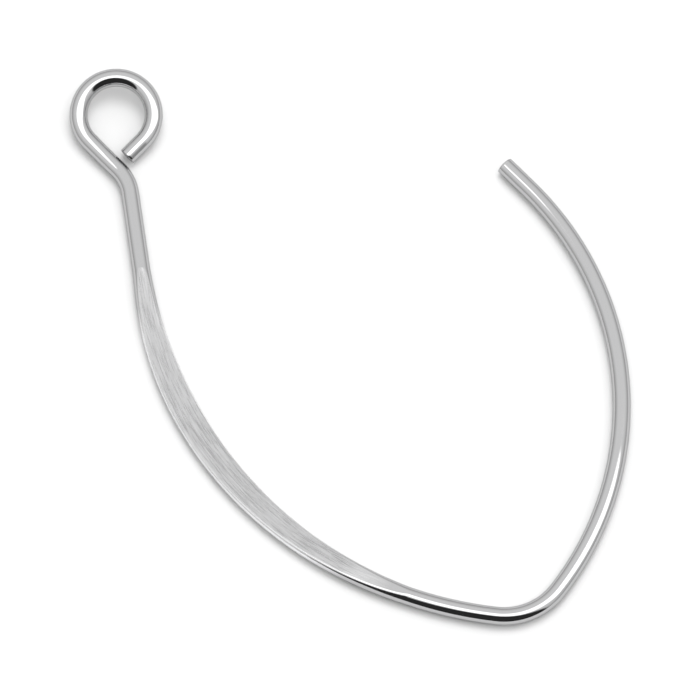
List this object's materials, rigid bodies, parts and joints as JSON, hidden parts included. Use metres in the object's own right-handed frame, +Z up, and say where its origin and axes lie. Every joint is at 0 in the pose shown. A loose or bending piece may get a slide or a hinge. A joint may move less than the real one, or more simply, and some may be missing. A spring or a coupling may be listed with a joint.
{
  "type": "ear wire",
  "caption": "V-shaped earring wire: an open eye carries the drop, a front pressed flat shows below the ear, and a tight bend and a round back arc pass through the lobe.",
  "frame": {"origin": "centre of the open eye, in the middle of the wire's thickness", "axes": "+Y from the eye to the middle of the tight bend, which is up when worn, +X towards the pressed front, +Z up from the surface that the wire lies on"},
  "size_m": [0.0195, 0.0314, 0.0015],
  "materials": {
    "wire": "polished round wire, with a satin grain along the pressed front"
  },
  "bodies": {
    "root": {"ear_wire": "wire"}
  },
  "joints": []
}
